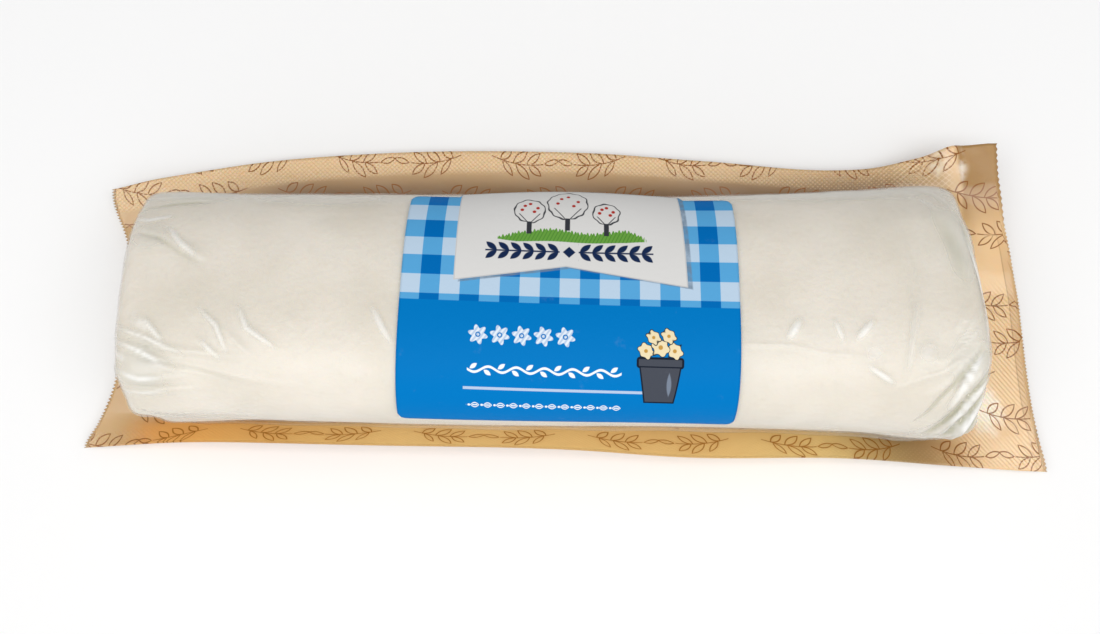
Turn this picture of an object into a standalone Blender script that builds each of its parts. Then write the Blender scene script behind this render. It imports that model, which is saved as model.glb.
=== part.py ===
"""A vacuum-packed log of fresh goat cheese: the log shrunk into its clear film, the printed backing film
that it lies on, sealed to the clear one all round, and the square label on top.

Metres, +Z up, the log along X. The pack lies on its backing film: the origin is on the surface under the
middle of the pack. FRONT is the -Y side, REAR the +Y side."""

from math import acos, atan2, cos, exp, pi, sin

import bmesh
import bpy
import numpy as np

MM = 0.001


def curve_through(points):
    """A smooth function through points given in millimetres, flat beyond its two ends."""
    xs, ys = MM * np.array(points, float).T
    slopes = np.gradient(ys, xs)
    slopes[0] = slopes[-1] = 0

    def value(x):
        x = min(max(x, xs[0]), xs[-1])
        i = min(int(np.searchsorted(xs, x, side="right")) - 1, len(xs) - 2)
        span = xs[i + 1] - xs[i]
        s = (x - xs[i]) / span
        return (
            ys[i] * (1 + 2 * s) * (1 - s) ** 2
            + span * slopes[i] * s * (1 - s) ** 2
            + ys[i + 1] * s * s * (3 - 2 * s)
            + span * slopes[i + 1] * s * s * (s - 1)
        )

    return value


# The log in its clear film
LEFT_END, RIGHT_END = -86.5 * MM, 79.9 * MM
AXIS_Y = curve_through([(-83, -2.7), (-55, -3.0), (0, -3.8), (84, -3.8)])
HALF_WIDTH = curve_through([
    (-88, 23.6), (-30, 24.2), (33, 24.4), (48, 24.9), (62, 25.4), (76, 25.7),
])
CROWN = curve_through([(-88, 18.2), (0, 18.6), (80, 19.5)])
WIDEST_LEVEL = 19.8 * MM
UNDERSIDE = 1.0 * MM
CROWN_POWER = 2.65
BELLY_POWER = 3.2
ROLL = 0.18
DOME_DEPTH = 7.6 * MM
DOME_POWER = 4.4
LEFT_SLANT, RIGHT_SLANT = -0.6 * MM, 0.9 * MM
DOME_SHARE = 0.2
LOG_RINGS, LOG_SIDES = 44, 50

# Folds pressed into the film at the ends: where each meets the body, as the angle round the log in degrees
# (0 rear, 90 top, 180 front), its sideways drift, its height and its width in degrees
LEFT_FOLDS = (
    (128, 10, 0.5, 8), (163, 14, 0.7, 8), (193, 10, 0.8, 8), (30, -12, 0.5, 9), (335, -8, 0.5, 9),
)
RIGHT_FOLDS = (
    (172, -34, 0.9, 9), (194, -30, 1.1, 9), (216, -20, 0.9, 9), (20, 10, 0.5, 9), (60, 14, 0.4, 9),
)

# The backing film
FILM_THICKNESS = 0.45 * MM
REAR_EDGE = curve_through([
    (-102, 26.6), (-87, 29.8), (-66, 33.4), (-38, 35.9), (-8, 36.5), (14, 35.9), (38, 33.9),
    (70, 31.7), (78, 32.7), (95, 34.6),
])
FRONT_EDGE = curve_through([
    (-105, -31.4), (-81, -30.5), (-36, -31.2), (5, -32.2), (25, -33.6), (60, -33.8), (84, -35.4),
    (105, -36.5),
])
LEFT_EDGE = curve_through([
    (-31.5, -104.7), (-26, -102.2), (-18, -99.4), (-9, -98.6), (14, -98.6), (26, -102.4),
])
RIGHT_EDGE = curve_through([(-36.5, 104.7), (-16, 102.5), (17, 97.5), (35, 94.5)])
FLAT_REACH, FOOT_REACH = 12.5 * MM, 21 * MM
END_MARGIN = 3.0 * MM
REACH_POWER = 4
SEAM_LEVEL = 2.5 * MM
REAR_RISE = 1.2 * MM
CURL = curve_through([
    (-104, 0), (-92, 3.0), (-81, 7.5), (-60, 9.0), (10, 9.0), (40, 8.0), (62, 5.5), (82, 2.0), (100, 0),
])
CORNER_LIFT = curve_through([(66, 0), (85, 6.5), (97, 9.0)])
LIFT_RUN = 11 * MM
PLEAT_X, PLEAT_WIDTH, PLEAT_HEIGHT = 84.5 * MM, 2.2 * MM, 2.4 * MM
FILM_COLUMNS = 56
FILM_ROWS = (4, 2, 2, 2, 4)

# The label, turned a little on the log
LABEL_WIDTH, LABEL_HEIGHT = 63.6 * MM, 50.0 * MM
LABEL_X = 0.4 * MM
LABEL_TOP = 22.9 * MM
LABEL_TURN = 1.4
LABEL_CORNER = 1.7 * MM
LABEL_THICKNESS = 0.3 * MM
TAB_LEFT, TAB_RIGHT, TAB_REACH = -21.8 * MM, 21.6 * MM, 1.4 * MM
TAB_LIFT, TAB_LIFT_RUN = 1.1 * MM, 14 * MM
LABEL_COLUMNS, LABEL_ROWS = 20, 18

GAP = 0.3 * MM


def smooth_step(x, start, end):
    s = min(max((x - start) / (end - start), 0), 1)
    return s * s * (3 - 2 * s)


def between(a, b, share):
    return a + (b - a) * share


def signed_power(value, power):
    return np.sign(value) * abs(value) ** power


def section(x, around):
    """The log's cross-section at x: how far a point lies behind the axis and above the widest level."""
    back, up = cos(around), sin(around)
    power = 2 / (CROWN_POWER if up >= 0 else BELLY_POWER)
    height = CROWN(x) if up >= 0 else WIDEST_LEVEL - UNDERSIDE
    across = HALF_WIDTH(x) * signed_power(back, power)
    leaning = 1 if up >= 0 else (1 + up) ** 1.5
    return across, height * signed_power(up, power) - ROLL * across * leaning


def ends(slant):
    """Where the log's two ends are, for a place from -1 at its front side to 1 at its rear side."""
    return LEFT_END + LEFT_SLANT * slant, RIGHT_END - RIGHT_SLANT * slant


def fold_relief(around, end_share, folds):
    """How far the folds lift the film. end_share is 0 at the end's middle and 1 where the body starts."""
    lift = 0
    for angle, drift, height, width in folds:
        off = (np.degrees(around) - angle - drift * (1 - end_share) + 180) % 360 - 180
        lift = max(lift, height * MM * exp(-((off / width) ** 2)))
    return lift * smooth_step(end_share, 0.15, 0.6)


def log_point(along, around, out=0.0):
    """A point of the film round the log. along runs from 0 at the left end to 1 at the right one."""
    from_left = along < 0.5
    folds = LEFT_FOLDS if from_left else RIGHT_FOLDS
    nearest = min(along, 1 - along)
    tilt = pi / 2 * min(nearest / DOME_SHARE, 1)
    radius = sin(tilt) ** (2 / DOME_POWER)
    depth = DOME_DEPTH * (1 - cos(tilt) ** (2 / DOME_POWER))
    body_share = min(max((along - DOME_SHARE) / (1 - 2 * DOME_SHARE), 0), 1)
    x_guess = between(LEFT_END + DOME_DEPTH, RIGHT_END - DOME_DEPTH, body_share)
    across, up = section(x_guess, around)
    left, right = ends(radius * across / HALF_WIDTH(x_guess))
    if nearest >= DOME_SHARE:
        x = between(left + DOME_DEPTH, right - DOME_DEPTH, body_share)
        past_dome = abs(x - (left if from_left else right)) - DOME_DEPTH
        relief = fold_relief(around, 1, folds) * (1 - smooth_step(past_dome, 0, 16 * MM))
    else:
        x = left + depth if from_left else right - depth
        relief = fold_relief(around, nearest / DOME_SHARE, folds)
    out += relief
    facing = (-1 if from_left else 1) * cos(tilt)
    return (
        x + out * facing,
        AXIS_Y(x_guess) + radius * across + out * sin(tilt) * cos(around),
        WIDEST_LEVEL + radius * up + out * sin(tilt) * sin(around),
    )


def film_height(x, y):
    """How high the underside of the backing film lies: flat under the log, then up to the seam, then out."""
    across = y - AXIS_Y(x)
    left, right = ends(min(max(across / HALF_WIDTH(x), -1), 1))
    past_end = max(0, max(left - x, x - right) + FOOT_REACH - END_MARGIN)
    reach = (past_end**REACH_POWER + abs(across) ** REACH_POWER) ** (1 / REACH_POWER)
    height = SEAM_LEVEL * smooth_step(reach, FLAT_REACH, FOOT_REACH)
    past_foot = abs(across) - FOOT_REACH
    if past_foot > 0 and across < 0:
        share = past_foot / (AXIS_Y(x) - FOOT_REACH - FRONT_EDGE(x))
        height += CURL(x) * share**1.4
    if past_foot > 0 and across > 0:
        share = past_foot / (REAR_EDGE(x) - AXIS_Y(x) - FOOT_REACH)
        height += REAR_RISE * share
        height += PLEAT_HEIGHT * share**2 * exp(-(((x - PLEAT_X) / PLEAT_WIDTH) ** 2))
    beside_log = smooth_step(reach, FOOT_REACH, FOOT_REACH + LIFT_RUN)
    return height + CORNER_LIFT(x) * smooth_step(y, 2 * MM, 26 * MM) * beside_log


def film_point(u, band):
    """A point of the backing film's underside. u runs from left to right. band runs from 0 at the front
    edge to 5 at the rear one, past the two feet of the log at 1 and 4 and its flat underside at 2 and 3."""
    guess = between(LEFT_EDGE(0), RIGHT_EDGE(0), u)
    axis = AXIS_Y(guess)
    stops = (
        FRONT_EDGE(guess), axis - FOOT_REACH, axis - FLAT_REACH,
        axis + FLAT_REACH, axis + FOOT_REACH, REAR_EDGE(guess),
    )
    y = float(np.interp(band, range(len(stops)), stops))
    x = between(LEFT_EDGE(y), RIGHT_EDGE(y), u)
    return x, y, film_height(x, y)


def finish(name, bm, colour, roughness, coat=0.0):
    """Makes the shaped mesh an object with its own material."""
    bm.normal_update()
    mesh = bpy.data.meshes.new(name)
    bm.to_mesh(mesh)
    bm.free()
    mesh.shade_smooth()
    obj = bpy.data.objects.new(name, mesh)
    bpy.context.scene.collection.objects.link(obj)
    material = bpy.data.materials.new(name)
    material.use_nodes = True
    shader = material.node_tree.nodes["Principled BSDF"]
    shader.inputs["Base Color"].default_value = (*colour, 1)
    shader.inputs["Roughness"].default_value = roughness
    shader.inputs["Metallic"].default_value = 0.0
    shader.inputs["Coat Weight"].default_value = coat
    mesh.materials.append(material)
    return obj


def thicken(obj, thickness):
    """Gives a sheet its thickness on the side that its faces look to."""
    solidify = obj.modifiers.new("Thickness", "SOLIDIFY")
    solidify.thickness = thickness
    solidify.offset = 1
    solidify.use_rim = True


def build_wrapped_log():
    bm = bmesh.new()
    bmesh.ops.create_uvsphere(bm, u_segments=LOG_SIDES, v_segments=LOG_RINGS, radius=1)
    for vert in bm.verts:
        pole, back, up = vert.co.z, vert.co.x, vert.co.y
        along = 1 - acos(min(max(pole, -1), 1)) / pi
        vert.co = log_point(along, atan2(up, back))
    bm.normal_update()
    bmesh.ops.recalc_face_normals(bm, faces=bm.faces[:])
    return finish("wrapped_log", bm, (0.83, 0.79, 0.70), 0.25, coat=1.0)


def build_backing_film():
    """A grid whose rows are spread over the five bands, shaped and then thickened upwards."""
    bands = [band + step / rows for band, rows in enumerate(FILM_ROWS) for step in range(rows)]
    bands.append(len(FILM_ROWS))
    rows = len(bands) - 1
    bm = bmesh.new()
    bmesh.ops.create_grid(bm, x_segments=FILM_COLUMNS, y_segments=rows, size=0.5)
    for vert in bm.verts:
        vert.co = film_point(vert.co.x + 0.5, bands[round((vert.co.y + 0.5) * rows)])
    obj = finish("backing_film", bm, (0.68, 0.45, 0.25), 0.35)
    thicken(obj, FILM_THICKNESS)
    return obj


def crown_arcs():
    """The angles over the log's top, from rear to front, and how far each lies round it from the crown."""
    angles = np.radians(np.arange(0, 180.5, 0.5))
    points = np.array([section(LABEL_X, angle) for angle in angles])
    steps = np.hypot(*np.diff(points, axis=0).T)
    arcs = np.concatenate([[0], np.cumsum(steps)])
    return arcs - arcs[len(arcs) // 2], angles


ARCS, ARC_ANGLES = crown_arcs()


def label_point(p, q):
    """A point of the label's glued face: p from its middle to the right, q from its rear edge forwards."""
    turn = np.radians(LABEL_TURN)
    arc = q - LABEL_TOP + p * sin(turn)
    x = LABEL_X + p - arc * sin(turn)
    body = (x - LEFT_END - DOME_DEPTH) / (RIGHT_END - LEFT_END - 2 * DOME_DEPTH)
    along = between(DOME_SHARE, 1 - DOME_SHARE, body)
    tab_share = min(max((p - TAB_LEFT) / (TAB_RIGHT - TAB_LEFT), 0), 1)
    lift = TAB_LIFT * sin(pi * tab_share) * (1 - smooth_step(q, 0, TAB_LIFT_RUN))
    _, y, z = log_point(along, np.interp(arc, ARCS, ARC_ANGLES), GAP + lift)
    return x, y, z


def label_columns():
    """Where the label's columns stand: even, with more at the round corners and at the tab's two sides."""
    half = LABEL_WIDTH / 2
    even = [between(-half, half, i / LABEL_COLUMNS) for i in range(LABEL_COLUMNS + 1)]
    corners = [half - share * LABEL_CORNER for share in (0.12, 0.45)]
    tab = [edge + step for edge in (TAB_LEFT, TAB_RIGHT) for step in (-0.1 * MM, 0.1 * MM)]
    return sorted(even + corners + [-p for p in corners] + tab)


def label_rows(p):
    """Where the label starts and ends at p, inside its round corners and out to its tab."""
    corner = max(LABEL_CORNER - (LABEL_WIDTH / 2 - abs(p)), 0)
    cut = LABEL_CORNER - (LABEL_CORNER**2 - corner**2) ** 0.5
    tab = TAB_REACH if TAB_LEFT < p < TAB_RIGHT else 0
    return cut - tab, LABEL_HEIGHT - cut


def build_label():
    columns = label_columns()
    last = len(columns) - 1
    bm = bmesh.new()
    bmesh.ops.create_grid(bm, x_segments=last, y_segments=LABEL_ROWS, size=0.5)
    for vert in bm.verts:
        p = columns[round((vert.co.x + 0.5) * last)]
        vert.co = label_point(p, between(*label_rows(p), 0.5 - vert.co.y))
    obj = finish("label", bm, (0.02, 0.27, 0.68), 0.3)
    thicken(obj, LABEL_THICKNESS)
    return obj


for old in list(bpy.data.objects):
    bpy.data.objects.remove(old)
build_wrapped_log()
build_backing_film()
build_label()
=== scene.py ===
"""A vacuum-packed log of fresh goat cheese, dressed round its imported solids: the cheese and the clear film
shrunk onto it, the printed backing film with its pressed seal, and the gingham label.

Metres, +Z up, the log along X, FRONT at -Y. Points of the log are also named by v: how far they lie round
it from the crown line, positive towards the front."""

from math import cos, pi, radians, sin

import bmesh
import bpy
import numpy as np
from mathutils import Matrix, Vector


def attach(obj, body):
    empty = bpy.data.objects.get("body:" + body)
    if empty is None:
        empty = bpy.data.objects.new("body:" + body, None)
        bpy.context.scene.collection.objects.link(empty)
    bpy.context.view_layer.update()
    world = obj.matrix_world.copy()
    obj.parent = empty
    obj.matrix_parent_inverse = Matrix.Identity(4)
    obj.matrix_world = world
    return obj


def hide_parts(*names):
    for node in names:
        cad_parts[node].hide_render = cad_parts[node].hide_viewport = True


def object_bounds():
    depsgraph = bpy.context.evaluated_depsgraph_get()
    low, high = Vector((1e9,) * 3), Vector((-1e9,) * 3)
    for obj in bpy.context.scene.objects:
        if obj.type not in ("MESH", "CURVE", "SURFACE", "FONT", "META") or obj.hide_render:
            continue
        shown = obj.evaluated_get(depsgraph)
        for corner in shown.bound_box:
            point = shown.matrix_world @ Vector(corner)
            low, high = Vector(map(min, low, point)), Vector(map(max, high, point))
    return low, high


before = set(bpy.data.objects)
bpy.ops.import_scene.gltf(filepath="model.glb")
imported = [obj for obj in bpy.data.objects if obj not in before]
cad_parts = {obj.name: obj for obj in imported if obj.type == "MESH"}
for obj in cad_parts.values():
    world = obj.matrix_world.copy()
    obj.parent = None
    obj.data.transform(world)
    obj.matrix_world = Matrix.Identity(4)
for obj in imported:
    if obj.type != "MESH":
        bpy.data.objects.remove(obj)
cad_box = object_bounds()

MM = 0.001


def curve_through(points):
    """A smooth function through points given in millimetres, flat beyond its two ends."""
    xs, ys = MM * np.array(points, float).T
    slopes = np.gradient(ys, xs)
    slopes[0] = slopes[-1] = 0

    def value(x):
        x = np.clip(x, xs[0], xs[-1])
        i = np.clip(np.searchsorted(xs, x, side="right") - 1, 0, len(xs) - 2)
        span = xs[i + 1] - xs[i]
        s = (x - xs[i]) / span
        return (
            ys[i] * (1 + 2 * s) * (1 - s) ** 2
            + span * slopes[i] * s * (1 - s) ** 2
            + ys[i + 1] * s * s * (3 - 2 * s)
            + span * slopes[i + 1] * s * s * (s - 1)
        )

    return value


# The log, as the solid has it
LEFT_END, RIGHT_END = -86.5 * MM, 79.9 * MM
AXIS_Y = curve_through([(-83, -2.7), (-55, -3.0), (0, -3.8), (84, -3.8)])
HALF_WIDTH = curve_through([
    (-88, 23.6), (-30, 24.2), (33, 24.4), (48, 24.9), (62, 25.4), (76, 25.7),
])
CROWN = curve_through([(-88, 18.2), (0, 18.6), (80, 19.5)])
WIDEST_LEVEL = 19.8 * MM
UNDERSIDE = 1.0 * MM
CROWN_POWER = 2.65
BELLY_POWER = 3.2
ROLL = 0.18
DOME_DEPTH = 7.6 * MM
DOME_POWER = 4.4
LEFT_SLANT, RIGHT_SLANT = -0.6 * MM, 0.9 * MM
DOME_SHARE = 0.2
FILM_RINGS, FILM_SIDES = 320, 240
CHEESE_RINGS, CHEESE_SIDES = 260, 200
# Where the skins' rings and sides lie: closest over the bare top, wide apart under the label and beneath
RING_SHARES = (0, 0.11, 0.47, 0.53, 0.89, 1), (0, 0.2, 0.386, 0.644, 0.8, 1)
SIDE_DEGREES = (-180, -159.4, -87.4, 180), (-180, -165, -15, 180)

# Folds pressed into the film at the ends: angle where each meets the body in degrees, sideways drift,
# height in millimetres and width in degrees
LEFT_FOLDS = (
    (128, 10, 0.5, 8), (163, 14, 0.7, 8), (193, 10, 0.8, 8), (30, -12, 0.5, 9), (335, -8, 0.5, 9),
)
RIGHT_FOLDS = (
    (172, -34, 0.9, 9), (194, -30, 1.1, 9), (216, -20, 0.9, 9), (20, 10, 0.5, 9), (60, 14, 0.4, 9),
)

# Fine wrinkles of the clear film: the points (x, v) that each runs through, its height and its half width,
# all in millimetres
WRINKLES = (
    # The left end's rear corner
    (((-84.5, -20), (-79, -17.5)), 0.19, 0.8),
    (((-82, -22), (-76, -22.5), (-68, -24.5)), 0.25, 1.1),
    (((-80.5, -14.5), (-74.4, -9.4), (-67, -6)), 0.28, 1.2),
    (((-84, -13), (-78, -14.5)), 0.17, 0.9),
    # Short puckers along the crown, left of the label
    (((-69, 4.2), (-65.4, 7.5), (-63.2, 12.6)), 0.23, 0.75),
    (((-62, 3.4), (-59.7, 7.9), (-53.2, 12.2)), 0.28, 1),
    (((-70.4, 4.2), (-69.2, 6.7)), 0.14, 0.6),
    (((-52.2, 5.2), (-51, 7.2)), 0.12, 0.6),
    (((-68.4, 10.2), (-64, 14.4)), 0.19, 0.7),
    (((-63.6, 8.3), (-59.2, 13)), 0.17, 0.7),
    (((-36.3, 3.8), (-34.4, 7.4), (-32.2, 10.8)), 0.17, 0.9),
    # The fan of gathers out of the left end
    (((-79.5, 5.8), (-75.2, 10.8)), 0.22, 0.9),
    (((-84, 8.2), (-79, 9.8), (-71, 13.4)), 0.25, 0.8),
    (((-84.5, 10.6), (-79, 12.6), (-72, 17)), 0.22, 0.8),
    (((-83.5, 12.6), (-76, 12), (-61, 13.6)), 0.22, 0.9),
    (((-84, 14.6), (-75.7, 14.6), (-66, 16.6), (-55.6, 18.7), (-44, 20.2)), 0.19, 1.3),
    (((-84, 17.4), (-77, 18.2), (-70, 17.4)), 0.19, 0.9),
    (((-83, 20.8), (-76, 21), (-66, 19.8)), 0.19, 0.9),
    (((-83.5, 24), (-76, 26), (-68, 30)), 0.22, 1),
    (((-81.5, 23.2), (-72, 26.2), (-60, 28)), 0.22, 1.1),
    (((-83, 28.5), (-74, 30.5), (-62, 31.5), (-48, 31)), 0.19, 1.1),
    # Short puckers along the crown, right of the label
    (((40.8, 8.8), (43.2, 5.4)), 0.22, 1.1),
    (((49.5, 5.6), (50.8, 9.2)), 0.14, 0.6),
    (((53.2, 9), (56.6, 5.6)), 0.17, 0.9),
    (((31.7, 10), (41.3, 10.1), (48, 11.6), (56, 12.2)), 0.12, 0.5),
    (((55.4, 13.8), (59.9, 16.6)), 0.22, 0.9),
    (((49.1, 15.2), (49.1, 17.5)), 0.12, 0.6),
    (((64.6, -10), (65.4, 0), (64.9, 5.5), (63.2, 10.8), (62.2, 17)), 0.17, 0.7),
    # The right end: gathers over its crown, then the deep diagonal folds at its front corner
    (((64, 11.4), (71, 12.9)), 0.22, 2.2),
    (((71.5, 7.6), (75.4, 1.6)), 0.3, 0.8),
    (((71.8, 9.8), (77, 2.9)), 0.34, 0.8),
    (((70.8, 11.8), (77.4, 5.4)), 0.3, 0.7),
    (((61, 17.4), (69, 14.5), (76, 9.6)), 0.25, 0.9),
    (((66, 19.2), (72, 16.2), (77, 12)), 0.22, 0.8),
    (((67, 28), (70, 22.6), (73, 17.8), (77.4, 13.2)), 0.85, 1.2),
    (((69.6, 31.5), (72.2, 23.6), (74.5, 19.6), (77.4, 16.2)), 0.85, 1.15),
    (((72.4, 36), (74.7, 28.2), (75.9, 23.4), (77.8, 19.4)), 0.8, 1.15),
    (((75.4, -8), (77.6, 0), (78.5, 8), (78.4, 15)), 0.34, 0.9),
    (((73.2, -12), (75.6, -4), (76.6, 4)), 0.26, 0.9),
    (((72.6, -24.6), (75.4, -16.8)), 0.3, 0.9),
    (((69.5, -21), (73.5, -13.5)), 0.17, 1),
)
# Sharp creases between the folds: points (x, v), depth and half width in millimetres, and each one's painted
# shade
CREASES = (
    (((68.2, 30.2), (71.2, 23.2), (73.8, 18.8), (77.8, 14.7)), 0.35, 0.5, 0.9),
    (((71, 33.6), (73.5, 26), (75.3, 21.5), (77.8, 17.8)), 0.4, 0.5, 0.9),
    (((74.4, 35), (76.4, 27.4), (78.4, 21.6)), 0.35, 0.5, 0.7),
    (((65.4, 25.6), (68.6, 19.8), (72.2, 15.4), (76.6, 10.6)), 0.3, 0.6, 0.6),
    (((75.6, -17), (77.2, -8), (78.2, 2), (78.6, 10)), 0.25, 0.5, 0.6),
    (((-84, 9.4), (-79, 11.2), (-72, 15.2)), 0.1, 0.5, 0.35),
    (((-84, 12), (-78, 14), (-68, 16.2), (-60, 18.6)), 0.1, 0.5, 0.3),
    (((-83.5, 19), (-76, 19.6), (-70, 19)), 0.12, 0.5, 0.3),
    (((-82, 25.6), (-74, 28.4), (-62, 30.2)), 0.2, 0.5, 0.6),
    (((-78, 31), (-66, 33.5), (-50, 34)), 0.2, 0.6, 0.5),
    (((-84, -18.6), (-78, -20.4), (-71, -21.4)), 0.2, 0.5, 0.6),
    (((-83, -12), (-78.5, -10.6), (-74, -7.4), (-69, -4.4)), 0.2, 0.6, 0.5),
    (((64.2, -4), (64.1, 4), (62.8, 9.6), (61.8, 16)), 0.08, 0.6, 0.2),
    (((70.5, -18), (73.6, -8), (74.6, 1)), 0.1, 2, 0.35),
)
# Painted highlights along ridges of the film: points (x, v), half width in millimetres, and how white each
# is
GLINTS = (
    (((-84.2, -16), (-81.5, -15.2), (-77.2, -16.4)), 0.5, 0.9),
    (((-77, -13.2), (-74.6, -10), (-71, -6.7)), 0.55, 0.8),
    (((76.4, -11), (78, -4), (78.3, 3), (77.7, 10)), 0.6, 0.6),
    (((70.6, 20.8), (72.9, 16.6), (76.2, 11.6)), 0.5, 0.7),
    (((71.6, 24.6), (74.5, 19.6), (77, 16.6)), 0.55, 0.7),
    (((74.4, 29.4), (75.9, 22.9), (77.1, 19.8)), 0.55, 0.65),
    (((-84, 11), (-80, 12.4), (-75, 15)), 0.5, 0.5),
    (((-83.4, 16.4), (-79.6, 17.8), (-75.4, 17.6)), 0.6, 0.5),
    (((-83, 20.6), (-79, 21), (-74.6, 20.4)), 0.5, 0.4),
    (((-84.4, 13.4), (-82, 14.4)), 0.8, 0.5),
    (((54.7, 12.2), (58.4, 10.6)), 1.7, 0.4),
    (((65.1, 12.2), (66.9, 9.8)), 1.5, 0.4),
    (((64.8, 2.6), (63.5, 9.2), (62.4, 15.1)), 0.7, 0.35),
    (((-80.8, 6.5), (-77.7, 8.8)), 1.3, 0.45),
    (((-77.6, 14.4), (-72.8, 16.3)), 1.2, 0.3),
    (((-69, 4.2), (-65.4, 7.5), (-63.2, 12.6)), 0.45, 0.6),
    (((-61.5, 3.8), (-59.7, 7.9), (-54, 11.8)), 0.5, 0.6),
    (((-68, 10.6), (-64.4, 14)), 0.5, 0.5),
    (((-79.5, 5.8), (-75.2, 10.8)), 0.5, 0.6),
    (((-84, 8.2), (-79, 9.8), (-71, 13.4)), 0.45, 0.5),
    (((-36.5, 3.6), (-34.6, 7.2), (-32.8, 10.2)), 0.6, 0.8),
    (((40.9, 8.7), (43.1, 5.5)), 0.7, 0.8),
    (((49.5, 5.6), (50.8, 9.2)), 0.5, 0.65),
    (((53.4, 8.8), (56.4, 5.8)), 0.6, 0.8),
    (((55.4, 13.8), (59.9, 16.6)), 0.5, 0.85),
)
# Pockets where the film stands off the cheese and looks greyer: middle (x, v) and half sizes, millimetres
POCKETS = (
    ((-80.5, -11), (4, 4.5)), ((-74, -24), (9, 4)), ((-48, -22), (14, 4)), ((74.6, -9), (2.6, 8)),
    ((-79, 16), (4, 7)), ((74, 12), (4.5, 6)), ((75, 26), (3.5, 6)), ((50, -24), (22, 3.5)),
)
POCKET_LIFT = 0.18 * MM
# The right end's corners, square at the rear and pulled in at the front: place along the log and round it
# in degrees, spread in both, and how far each stands out in millimetres
CORNERS = ((0.875, 30, 0.045, 18, 1.3), (0.885, 150, 0.055, 20, -2.5))
SLACK_SEED = 11
SLACK_WAVES = 26
SLACK_HEIGHT = 0.05 * MM
FULL_SLACK = 0.25 * MM
CHEESE_INSET = 0.3 * MM
TOP_CLEARANCE = 0.02 * MM

# The clear film from the log's foot down to the seam
SKIRT_LEVEL = 8.5 * MM
SKIRT_SPREAD, SKIRT_CLEARANCE = 1.8 * MM, 0.15 * MM
SKIRT_PLEATS, SKIRT_PLEAT = 31, 0.12 * MM
SKIRT_ROWS, SKIRT_THICKNESS = 8, 0.1 * MM
POUCH, POUCH_SIZE = (81 * MM, -17 * MM), 6.0 * MM
POUCH_SPREAD, POUCH_TOWARD = 8 * MM, (0.97, -0.24)

# The backing film, as the solid has it, but for a closer right and rear edge and a lower pleat
FILM_THICKNESS = 0.4 * MM
REAR_EDGE = curve_through([
    (-102, 26.4), (-87, 29.3), (-66, 32.8), (-38, 35.2), (-8, 35.8), (14, 35.2), (38, 33.4),
    (70, 31.3), (78, 31.7), (86, 32.8), (95, 34.5),
])
FRONT_EDGE = curve_through([
    (-105, -31.4), (-81, -30.5), (-36, -31.2), (5, -32.2), (25, -33.6), (60, -33.8), (84, -35.4),
    (105, -36.5),
])
LEFT_EDGE = curve_through([
    (-31.5, -104.7), (-26, -102.2), (-18, -99.4), (-9, -98.6), (14, -98.6), (26, -102.4),
])
RIGHT_EDGE = curve_through([
    (-36.5, 104.5), (-29, 103.3), (-22, 102.4), (-14.7, 101.9), (-3.8, 101.5), (3.5, 101.1),
    (10.8, 99.2), (18, 96.5), (25, 95.0), (35, 94.7),
])
FLAT_REACH, FOOT_REACH = 12.5 * MM, 21 * MM
END_MARGIN = 3.0 * MM
REACH_POWER = 4
SEAM_LEVEL = 2.5 * MM
REAR_RISE = 1.2 * MM
CURL = curve_through([
    (-104, 0), (-92, 3.0), (-81, 7.5), (-60, 9.0), (10, 9.0), (40, 8.0), (62, 5.5), (82, 2.0), (100, 0),
])
CORNER_LIFT = curve_through([(66, 0), (85, 6.5), (97, 9.0)])
LIFT_RUN = 11 * MM
PLEAT_X, PLEAT_WIDTH, PLEAT_HEIGHT = 84.5 * MM, 2.2 * MM, 1.5 * MM
FILM_COLUMNS = 200
FILM_ROWS = (26, 22, 64, 22, 26)
TOOTH_DEPTH = 0.6 * MM
UV_SPAN = 250 * MM

# The label, as the solid has it, but thinner
LABEL_WIDTH, LABEL_HEIGHT = 63.6 * MM, 50.0 * MM
LABEL_X = 0.4 * MM
LABEL_TOP = 22.9 * MM
LABEL_TURN = 1.4
LABEL_CORNER = 1.7 * MM
LABEL_THICKNESS = 0.16 * MM
TAB_LEFT, TAB_RIGHT, TAB_REACH = -21.8 * MM, 21.6 * MM, 1.4 * MM
TAB_LIFT, TAB_LIFT_RUN = 1.1 * MM, 14 * MM
LABEL_COLUMNS, LABEL_ROWS = 120, 96
LABEL_GAP = 0.3 * MM
LABEL_UV = 100 * MM


def smooth_step(x, start, end):
    s = np.clip((x - start) / (end - start), 0, 1)
    return s * s * (3 - 2 * s)


def between(a, b, share):
    return a + (b - a) * share


def bell(distance, width):
    """1 at no distance, dying away smoothly over the width."""
    return np.exp(-((distance / width) ** 2))


def signed_power(value, power):
    return np.sign(value) * np.abs(value) ** power


def section(x, around):
    """The log's cross-section at x: how far a point lies behind the axis and above the widest level."""
    back, up = np.cos(around), np.sin(around)
    over = up >= 0
    power = np.where(over, 2 / CROWN_POWER, 2 / BELLY_POWER)
    height = np.where(over, CROWN(x), WIDEST_LEVEL - UNDERSIDE)
    across = HALF_WIDTH(x) * signed_power(back, power)
    leaning = np.where(over, 1, np.maximum(1 + up, 0) ** 1.5)
    return across, height * signed_power(up, power) - ROLL * across * leaning


def ends(slant):
    """Where the log's two ends are, for a place from -1 at its front side to 1 at its rear side."""
    return LEFT_END + LEFT_SLANT * slant, RIGHT_END - RIGHT_SLANT * slant


def fold_relief(around, end_share, folds):
    """How far the folds lift the film. end_share is 0 at the end's middle and 1 where the body starts."""
    lift = 0
    for angle, drift, height, width in folds:
        off = (np.degrees(around) - angle - drift * (1 - end_share) + 180) % 360 - 180
        lift = np.maximum(lift, height * MM * bell(off, width))
    return lift * smooth_step(end_share, 0.15, 0.6)


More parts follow.
